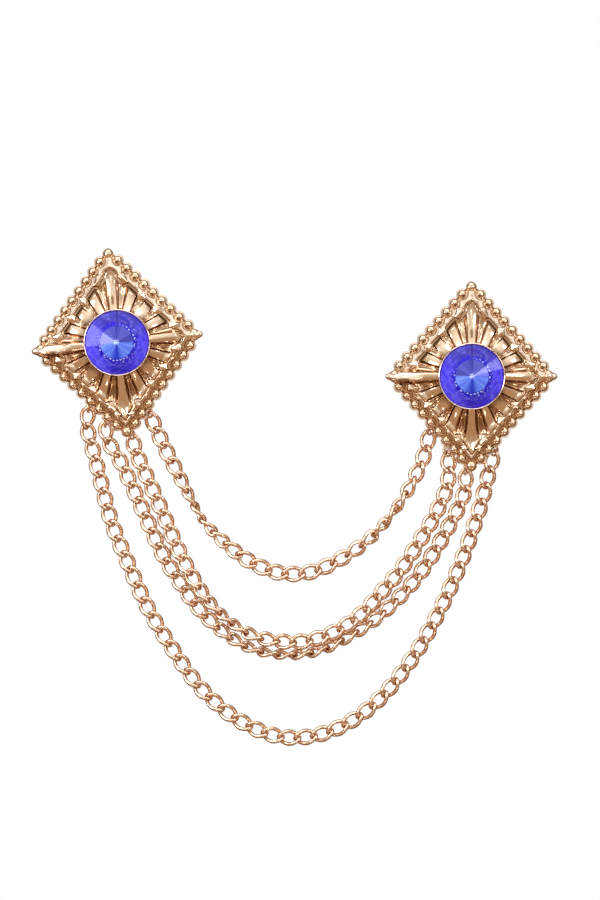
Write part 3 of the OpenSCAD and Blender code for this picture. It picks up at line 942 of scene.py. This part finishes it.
# Tints of the painted highlight, the painted shade and the deepest painted shade
HIGHLIGHT_TINT = (1.0, 0.88, 0.83)
SHADE_TINT = (0.40, 0.225, 0.125)
DEEP_SHADE_TINT = (0.19, 0.11, 0.055)
DRIFT_CAST = 0.25
DRIFT_WIRE = 0.6
# Random darker marks that break up the painted highlight: where the noise makes them, and how strong they get
HIGHLIGHT_BREAKS_FROM = (0.57, 0.63)
HIGHLIGHT_BREAK_STRENGTH = 0.75

# Colour of the painted shade at the edges of the wire, which also tints the metal's reflections at grazing
# angles, and where that shade starts and ends between face on and side on
WIRE_EDGE = (0.55, 0.27, 0.16)
EDGE_FROM = (0.35, 0.6)


def drifting_tone(tree, scale, light, deep):
    return mix_colour(tree, map_range(tree, noise(tree, scale), 0.35, 0.65), light, deep)


def rough_metal(tree, shader, scale, low, high):
    """Metal whose roughness wanders between low and high."""
    shader.inputs["Metallic"].default_value = 1.0
    rough = map_range(tree, noise(tree, scale, 3.0), 0.3, 0.7, low, high)
    tree.links.new(rough, shader.inputs["Roughness"])


def cast_gold(name, light, deep):
    """Polished cast plating, faintly wavy, with painted light: a painted highlight broken by random darker
    marks, and painted shade in recesses.
    """
    material, tree, shader = new_material(name)
    tone = drifting_tone(tree, DRIFT_CAST, light, deep)
    attribute = tree.nodes.new("ShaderNodeAttribute")
    attribute.attribute_name = "sunk"
    shading = attribute.outputs["Fac"]
    tone = mix_colour(tree, map_range(tree, shading, 0, -1), tone, HIGHLIGHT_TINT)
    breaks = map_range(tree, noise(tree, scale=1.7, detail=3.0, roughness=0.6), *HIGHLIGHT_BREAKS_FROM)
    breaks = times(tree, breaks, map_range(tree, shading, 0, -RAIL_HIGHLIGHT, 0, HIGHLIGHT_BREAK_STRENGTH))
    tone = mix_colour(tree, breaks, tone, SHADE_TINT)
    tone = mix_colour(tree, map_range(tree, shading, 0, 1), tone, SHADE_TINT)
    tone = mix_colour(tree, map_range(tree, shading, 1, DEEPEST_SHADE), tone, DEEP_SHADE_TINT)
    tree.links.new(tone, shader.inputs["Base Color"])
    rough_metal(tree, shader, scale=1.2, low=0.1, high=0.2)
    add_waves(tree, shader, scale=0.9, strength=0.5, distance=0.05)
    return material


def wire_gold(name, light, deep):
    """Polished plating of chains and pins, with painted shade that makes it redder and darker towards the
    edges of the wire.
    """
    material, tree, shader = new_material(name)
    tone = drifting_tone(tree, DRIFT_WIRE, light, deep)
    facing = tree.nodes.new("ShaderNodeLayerWeight")
    edge = map_range(tree, facing.outputs["Facing"], *EDGE_FROM)
    tree.links.new(mix_colour(tree, edge, tone, WIRE_EDGE), shader.inputs["Base Color"])
    shader.inputs["Specular Tint"].default_value = (*WIRE_EDGE, 1)
    rough_metal(tree, shader, scale=2.5, low=0.12, high=0.24)
    add_waves(tree, shader, scale=3.0, strength=0.15, distance=0.02)
    return material


def band(tree, value, start, full, fade, end):
    """The same as plateau, in nodes."""
    return times(tree, soft_step(tree, value, start, full), soft_step(tree, value, end, fade))


def polar(tree, brooch):
    """Distance from the stone's middle in stone radii, and direction as cosine, sine and angle."""
    x, z, _ = BROOCHES[brooch]
    place = coordinates(tree, "Object")
    across = divide(tree, minus(tree, place["X"], x * MM), STONE_R * MM)
    up = divide(tree, minus(tree, place["Z"], z * MM), STONE_R * MM)
    squares = plus(tree, times(tree, across, across), times(tree, up, up))
    rho = math_node(tree, "MAXIMUM", math_node(tree, "SQRT", squares), 0.001)
    return rho, divide(tree, across, rho), divide(tree, up, rho), math_node(tree, "ARCTAN2", up, across)


def polar_noise(tree, rho, cosine, sine, around, outward):
    """Noise in streaks: so many features round the stone's edge and from its middle to its edge."""
    vector = tree.nodes.new("ShaderNodeCombineXYZ")
    for socket, value, scale in zip(vector.inputs, (cosine, sine, rho), (around, around, outward)):
        tree.links.new(times(tree, value, scale), socket)
    return noise_over(tree, vector.outputs[0], scale=1.0, detail=1.0)


def random_step(tree, value):
    """A random number from 0 to 1 for each whole part of a value."""
    node = tree.nodes.new("ShaderNodeTexWhiteNoise")
    node.noise_dimensions = "1D"
    tree.links.new(math_node(tree, "FLOOR", value), node.inputs["W"])
    return node.outputs["Value"]


# Colours of the stones, with the reflections, shade, glints and sparkles of light inside them painted in
RING_DARK = (0.02, 0.01, 0.5)
RING_LIGHT = (0.088, 0.066, 1.0)
RING_TOP = (0.05, 0.042, 0.40)
RING_EDGE = (0.05, 0.02, 0.50)
RING_DEEP = (0.018, 0.008, 0.60)
DISC_DEEP = (0.02, 0.05, 0.72)
DISC_AZURE = (0.17, 0.31, 1.0)
DISC_GREY = (0.05, 0.055, 0.42)
DISC_DUSK = (0.10, 0.11, 0.56)
WEDGE_BLUE = (0.17, 0.19, 0.85)
FOLD = (0.015, 0.012, 0.22)
GLINT = (0.2, 0.2, 1.0)
SPARKLE = (0.62, 0.75, 1.0)
STONE_SHINE = (0.55, 0.55, 1.0)

# Painted glow that stands in for light thrown back by the foil, and what the bright parts of the disc add to
# it
FOIL_GLOW = 0.17
DISC_GLOW = 0.25

# Distances from the middle, in stone radii: where the disc ends, the ring starts and its edge starts, and
# where the painted dashes of sparkle start, are full, fade and end
DISC_EDGE = (0.5, 0.53)
RING_START = (0.6, 0.74)
EDGE_START = (0.93, 1.0)
DASH_RING = (0.5, 0.512, 0.53, 0.545)
FINE_RING = (0.54, 0.58, 0.66, 0.74)

# Direction and half width of the painted reflection, a bright wedge, on each stone
WEDGES = {"left": (math.radians(167), math.radians(23)), "right": (math.radians(18), math.radians(17))}


def outer_ring(tree, rho, cosine, sine, beside, tone):
    """Colour of the ring with painted light: a painted highlight to either side, deep blue at the bottom,
    painted shade above, darker and greyer, and painted glints and streaks of shade.
    """
    lit = plus(tree, times(tree, beside, 0.9), times(tree, tone, 0.5))
    colour = mix_colour(tree, soft_step(tree, lit, -0.1, 1.15), RING_DARK, RING_LIGHT)
    above = minus(tree, sine, times(tree, tone, 0.3))
    colour = mix_colour(tree, soft_step(tree, above, 0.0, 0.6), colour, RING_TOP)
    glints = soft_step(tree, polar_noise(tree, rho, cosine, sine, 4.0, 9.0), 0.45, 0.7)
    colour = mix_colour(tree, times(tree, glints, 0.4), colour, GLINT)
    shadows = soft_step(tree, polar_noise(tree, rho, sine, cosine, 3.0, 11.0), 0.52, 0.66)
    colour = mix_colour(tree, times(tree, shadows, 0.55), colour, RING_DARK)
    return mix_colour(tree, soft_step(tree, rho, *EDGE_START), colour, RING_EDGE)


def inner_disc(tree, brooch, cosine, sine, beside, tone, streaks):
    """Colour of the disc, a painted reflection of the foil: azure to either side below and grey blue above
    with a bright wedge, and how much painted glow it gives.
    """
    azure = times(tree, soft_step(tree, beside, 0.0, 0.6), plus(tree, times(tree, streaks, 0.45), 0.5))
    low = mix_colour(tree, azure, DISC_DEEP, DISC_AZURE)
    high = mix_colour(tree, times(tree, tone, tone), DISC_GREY, DISC_DUSK)
    below = soft_step(tree, sine, 0.12, -0.06)
    middle, half = WEDGES[brooch]
    towards = plus(tree, times(tree, cosine, math.cos(middle)), times(tree, sine, math.sin(middle)))
    wedge = soft_step(tree, towards, math.cos(half + 0.02), math.cos(half - 0.02))
    colour = mix_colour(tree, wedge, mix_colour(tree, below, high, low), WEDGE_BLUE)
    return colour, math_node(tree, "MAXIMUM", times(tree, azure, below), wedge)


def white_dashes(tree, rho, cosine, sine, turns):
    """A ring of short painted sparkles, one to each half facet, and a few finer ones outside it."""
    halves = times(tree, turns, 2.0)
    strength = random_step(tree, halves)
    ring_at = minus(tree, rho, times(tree, strength, 0.05))
    length = band(tree, math_node(tree, "FRACT", halves), 0.1, 0.2, 0.6, 0.75)
    dashes = times(tree, band(tree, ring_at, *DASH_RING), length)
    dashes = times(tree, dashes, soft_step(tree, strength, 0.1, 0.5))
    fine = soft_step(tree, polar_noise(tree, rho, cosine, sine, 9.0, 30.0), 0.62, 0.68)
    fine = times(tree, fine, band(tree, rho, *FINE_RING))
    dashes = math_node(tree, "MAXIMUM", dashes, times(tree, fine, 0.6))
    facing = minus(tree, times(tree, cosine, 0.5), sine)
    return times(tree, dashes, soft_step(tree, facing, -1.2, -0.2))


def stone_blue(name, brooch):
    """Foil-backed blue crystal with painted light: a painted reflection bright in the lower half inside, a
    ring of painted sparkles, a deep blue outer ring and a painted glow.
    """
    material, tree, shader = new_material(name)
    rho, cosine, sine, angle = polar(tree, brooch)
    beside = math_node(tree, "ABSOLUTE", cosine)
    facet = 2 * math.pi / STONE_FACETS
    start = FACET_TURNS[brooch] + BROOCHES[brooch][2] - facet / 2
    turns = divide(tree, minus(tree, angle, start), facet)
    tone = random_step(tree, turns)
    streaks = soft_step(tree, polar_noise(tree, rho, cosine, sine, 5.0, 1.0), 0.35, 0.65)

    # Disc inside with its painted reflection, deep ring round it, outer ring with painted light and shade
    colour, shine = inner_disc(tree, brooch, cosine, sine, beside, tone, streaks)
    colour = mix_colour(tree, soft_step(tree, rho, *DISC_EDGE), colour, RING_DEEP)
    outer = outer_ring(tree, rho, cosine, sine, beside, tone)
    fade = plus(tree, rho, times(tree, streaks, 0.08))
    colour = mix_colour(tree, soft_step(tree, fade, *RING_START), colour, outer)

    # Painted shade in a dark line at the top, painted sparkle broken up in the middle, painted white dashes
    # of sparkle
    fold = times(tree, soft_step(tree, beside, 0.07, 0.02), soft_step(tree, sine, 0.0, 0.2))
    colour = mix_colour(tree, times(tree, fold, 0.7), colour, FOLD)
    broken = soft_step(tree, polar_noise(tree, rho, cosine, sine, 2.0, 40.0), 0.42, 0.55)
    colour = mix_colour(tree, times(tree, soft_step(tree, rho, 0.11, 0.06), broken), colour, SPARKLE)
    colour = mix_colour(tree, times(tree, white_dashes(tree, rho, cosine, sine, turns), 0.9), colour, SPARKLE)

    # Painted glow: emission that stands in for light from the foil, stronger where the disc's painted
    # reflection is bright
    shine = times(tree, shine, soft_step(tree, rho, *DISC_EDGE[::-1]))
    glow = plus(tree, times(tree, shine, DISC_GLOW), FOIL_GLOW)
    tree.links.new(colour, shader.inputs["Base Color"])
    tree.links.new(colour, shader.inputs["Emission Color"])
    tree.links.new(glow, shader.inputs["Emission Strength"])
    shader.inputs["Roughness"].default_value = 0.02
    shader.inputs["Specular IOR Level"].default_value = 0.45
    shader.inputs["Specular Tint"].default_value = (*STONE_SHINE, 1)
    return material


# Pieces

plate_gold = cast_gold("plate_gold", *PLATE_GOLD)
chain_gold = wire_gold("chain_gold", *CHAIN_GOLD)
pin_gold = wire_gold("pin_gold", *PIN_GOLD)
strands = {n: link_frames("strand_%d" % n) for n in range(1, 5)}

points, faces, shading = plate_body()
for side, x_sign in (("left", -1), ("right", 1)):
    shells = Shells()
    shells.add(to_world(points, side), faces, shading)
    border_shells(shells, side)
    for links in strands.values():
        eye_shells(shells, end_link(links, x_sign))
    make_piece(side + "_casting", shells.all_points(), shells.faces, [side + "_plate"], "plate_gold",
               plate_gold, SHARP_CAST, shells.all_shadings())
    make_piece(side + "_crystal", *stone_shell(side), [side + "_stone"], "stone_blue",
               stone_blue(side + "_blue", side), SHARP_STONE)
    make_piece(side + "_post", *pin_shell(side), [side + "_pin"], "pin_gold", pin_gold, SHARP_CAST)

for n, links in strands.items():
    shells = Shells()
    for link in links:
        shells.add(*link_shell(link))
    make_piece("chain_%d" % n, shells.all_points(), shells.faces, ["strand_%d" % n], "chain_gold",
               chain_gold, SHARP_WIRE)


# Stage, light and camera

SURROUND_R = 3000
FLOOR_HALF = 700
FLOOR_Z = -165
FLOOR_PALE = (0.86, 0.85, 0.83)

# Distances from the floor's middle between which it turns from pale to white, and its glow at each
FLOOR_FADE = (100, 650)
FLOOR_GLOW = (0.3, 1.0)


def stage_object(name, points, faces, material):
    """Part of the stage that reflections and bounced light leave out."""
    thing = mesh_object(name, points, faces, material)
    thing.visible_glossy = False
    thing.visible_diffuse = False
    return thing


def backdrop():
    """White surround that only the camera sees, so that the metal reflects the studio instead."""
    material, _, glow = new_material("surround_white", "ShaderNodeEmission")
    glow.inputs["Color"].default_value = (1, 1, 1, 1)
    glow.inputs["Strength"].default_value = 1.0
    surround = stage_object("surround", *sphere(SURROUND_R, segments=48, rings=24), material)
    surround.visible_transmission = False
    surround.visible_shadow = False


def floor():
    """Pale ground that turns white towards its edges, so that it runs into the surround."""
    material, tree, shader = new_material("floor_pale")
    shader.inputs["Base Color"].default_value = (*FLOOR_PALE, 1)
    shader.inputs["Roughness"].default_value = 0.8
    shader.inputs["Emission Color"].default_value = (1, 1, 1, 1)
    place = tree.nodes.new("ShaderNodeTexCoord")
    distance = tree.nodes.new("ShaderNodeVectorMath")
    distance.operation = "LENGTH"
    tree.links.new(place.outputs["Object"], distance.inputs[0])
    fade = [away * MM for away in FLOOR_FADE]
    glow = map_range(tree, distance.outputs["Value"], *fade, *FLOOR_GLOW)
    tree.links.new(glow, shader.inputs["Emission Strength"])
    corners = [(x * FLOOR_HALF, y * FLOOR_HALF, FLOOR_Z) for x, y in ((-1, -1), (1, -1), (1, 1), (-1, 1))]
    plane = stage_object("floor", corners, [(0, 1, 2, 3)], material)


def area_light(name, place, target, size, brightness):
    """Panel at a place that faces a target. The brightness is measured against white at 1."""
    wide, high = size[0] * MM, size[1] * MM
    data = bpy.data.lights.new(name, "AREA")
    data.shape = "RECTANGLE"
    data.size, data.size_y = wide, high
    data.energy = brightness * math.pi * wide * high
    lamp = new_object(name, data)
    lamp.location = Vector(place) * MM
    lamp.rotation_euler = (Vector(target) - Vector(place)).to_track_quat("-Z", "Y").to_euler()


def colour_ramp(tree, value, stops):
    """Colour by a value from 0 to 1. The stops are placed from -1 to 1."""
    node = tree.nodes.new("ShaderNodeValToRGB")
    tree.links.new(value, node.inputs["Fac"])
    elements = node.color_ramp.elements
    for at, _ in stops[1:-1]:
        elements.new((at + 1) / 2)
    for element, (_, colour) in zip(elements, stops):
        element.color = (*colour, 1)
    return node.outputs["Color"]


def studio_world():
    """Soft surround for reflections: bright above, dim below, dark to the sides, pale behind."""
    world = bpy.data.worlds.new("studio")
    bpy.context.scene.world = world
    world.use_nodes = True
    tree = world.node_tree
    towards = coordinates(tree, "Generated")
    by_height = colour_ramp(tree, map_range(tree, towards["Z"], -1, 1), HEIGHT_STOPS)
    by_side = colour_ramp(tree, map_range(tree, towards["Y"], -1, 1), SIDE_STOPS)
    dimmed = mix_colour(tree, 1.0, by_height, by_side, "MULTIPLY")
    behind = map_range(tree, towards["Y"], *BEHIND_FROM)
    whole = mix_colour(tree, behind, dimmed, PALE_BEHIND)
    sky = tree.nodes["Background"]
    tree.links.new(whole, sky.inputs["Color"])
    sky.inputs["Strength"].default_value = WORLD_STRENGTH


# Half the brightness of the surround by height, and the part of it left at each distance behind, -1 to 1
HEIGHT_STOPS = [(-1.0, (0.27, 0.172, 0.108)), (-0.35, (0.23, 0.145, 0.088)), (-0.1, (0.26, 0.20, 0.15)),
                (0.1, (0.31, 0.28, 0.24)), (0.35, (0.40, 0.38, 0.35)), (0.65, (0.60, 0.58, 0.56)),
                (1.0, (0.72, 0.70, 0.68))]
SIDE_STOPS = [(-1.0, (1, 1, 1)), (-0.4, (1, 1, 1)), (-0.1, (0.22, 0.17, 0.13)), (1.0, (0.22, 0.17, 0.13))]
PALE_BEHIND = (0.42, 0.39, 0.36)
BEHIND_FROM = (0.35, 0.7)
WORLD_STRENGTH = 2.0

# Panels. Columns: name, place, what it faces, size, brightness.
MIDDLE = (36, -3, -20)
PANELS = [
    ("top", (36, -120, 330), MIDDLE, (420, 130), 2.0),
    ("left_facets", (-133, -152, 36), (0, -7, 0), (78, 78), 8.0),
    ("right_facets", (193, -152, 54), (69.4, -7, -6.6), (48, 48), 8.0),
    ("low_left", (-70, -220, -230), MIDDLE, (30, 30), 9.0),
    ("low_right", (150, -200, -250), MIDDLE, (30, 30), 9.0),
    ("front", (10, -700, 150), MIDDLE, (120, 120), 3.0),
]

# What the camera looks at, its lens, and the height that it frames
LOOK_AT = (35.8, -3, -21.0)
LENS = 250
FRAME_HEIGHT = 176.5

backdrop()
floor()
studio_world()
for panel in PANELS:
    area_light(*panel)

camera_data = bpy.data.cameras.new("camera")
camera_data.lens = LENS
camera = new_object("camera", camera_data)
distance = FRAME_HEIGHT * LENS / camera_data.sensor_width
camera.location = Vector((LOOK_AT[0], LOOK_AT[1] - distance, LOOK_AT[2])) * MM
camera.rotation_euler = (math.pi / 2, 0, 0)
bpy.context.scene.camera = camera
bpy.context.scene.view_settings.view_transform = "Standard"
